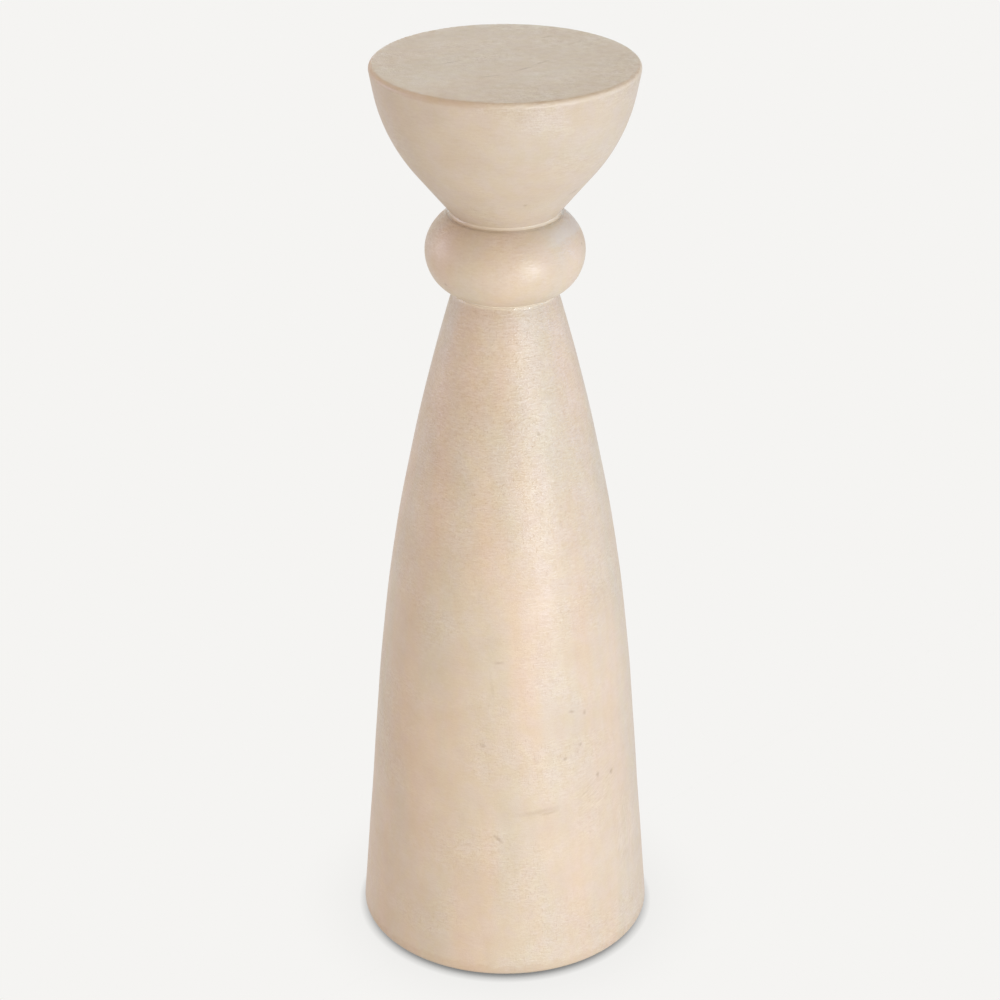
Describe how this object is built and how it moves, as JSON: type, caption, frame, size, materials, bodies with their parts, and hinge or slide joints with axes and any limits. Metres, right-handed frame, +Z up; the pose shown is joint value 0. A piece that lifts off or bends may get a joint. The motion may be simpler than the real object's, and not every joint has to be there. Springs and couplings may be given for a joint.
{
  "type": "candlestick",
  "caption": "Turned wooden candlestick with a flat-topped cup for a pillar candle, a round bead and a tall tapered column, in pale whitewashed wood.",
  "frame": {"origin": "on the table, under the centre of the foot", "axes": "+Z up along the turning axis, towards the candle face; +X and +Y lie in the table's plane, and the part is round about +Z"},
  "size_m": [0.1068, 0.1068, 0.33],
  "materials": {
    "whitewashed_wood": "pale limed wood with a satin clear coat",
    "beech": "bare planed beech",
    "felt": "pressed wool felt"
  },
  "bodies": {
    "root": {"base_felt": "felt", "column": "whitewashed_wood", "bead": "whitewashed_wood", "cup": "whitewashed_wood", "dowel": "beech"}
  },
  "joints": []
}
